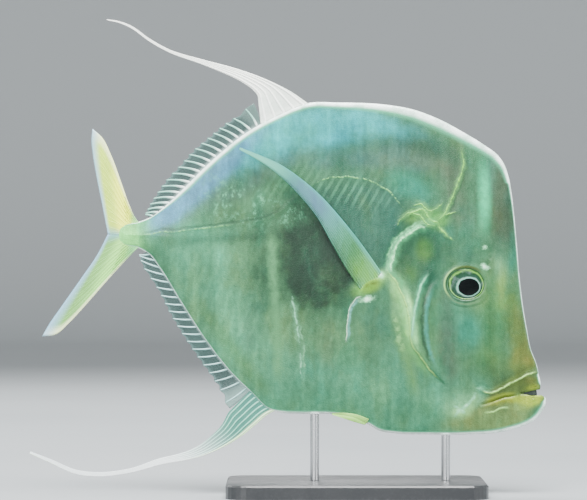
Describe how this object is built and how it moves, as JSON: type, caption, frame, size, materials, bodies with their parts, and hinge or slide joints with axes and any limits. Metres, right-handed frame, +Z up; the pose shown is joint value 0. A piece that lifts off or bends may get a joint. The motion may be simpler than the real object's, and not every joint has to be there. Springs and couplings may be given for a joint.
{
  "type": "lookdown fish display model",
  "caption": "Life-size still model of a lookdown fish in profile, with its long fin lobes, held over a flat base by two short rods.",
  "frame": {"origin": "on the floor, under the middle of the whole model's box", "axes": "+X towards the head, +Y towards the fish's left flank, +Z up"},
  "size_m": [0.3007, 0.096, 0.276],
  "materials": {
    "trunk_skin": "silvery grey-green fish skin, finely scaled",
    "head_skin": "silvery grey-green skin with a bronze face edge",
    "jaw_skin": "ochre skin",
    "gill_cover": "bright silver-green bony plate",
    "fin_pale": "cream rays on a thin pale membrane",
    "fin_yellow": "yellow-cream rays and membrane",
    "eye": "glossy dark pupil in a silver-green iris",
    "stand_base": "satin black display base",
    "stand_rod": "brushed steel rod"
  },
  "bodies": {
    "root": {"head": "head_skin", "upper_jaw": "jaw_skin", "lower_jaw": "jaw_skin", "gill_cover_right": "gill_cover", "gill_cover_left": "gill_cover", "eye_right": "eye", "eye_left": "eye", "trunk": "trunk_skin", "tail_stem": "trunk_skin", "dorsal_fin_lobe": "fin_pale", "dorsal_fin_filament": "fin_pale", "dorsal_fin_rear": "fin_pale", "anal_fin_lobe": "fin_pale", "anal_fin_filament": "fin_pale", "anal_fin_rear": "fin_pale", "tail_fin_upper": "fin_yellow", "tail_fin_lower": "fin_yellow", "pectoral_fin_right": "fin_pale", "pectoral_fin_left": "fin_pale", "pelvic_fin_right": "fin_pale", "pelvic_fin_left": "fin_pale", "stand_base": "stand_base", "stand_rod_front": "stand_rod", "stand_rod_rear": "stand_rod"}
  },
  "joints": []
}
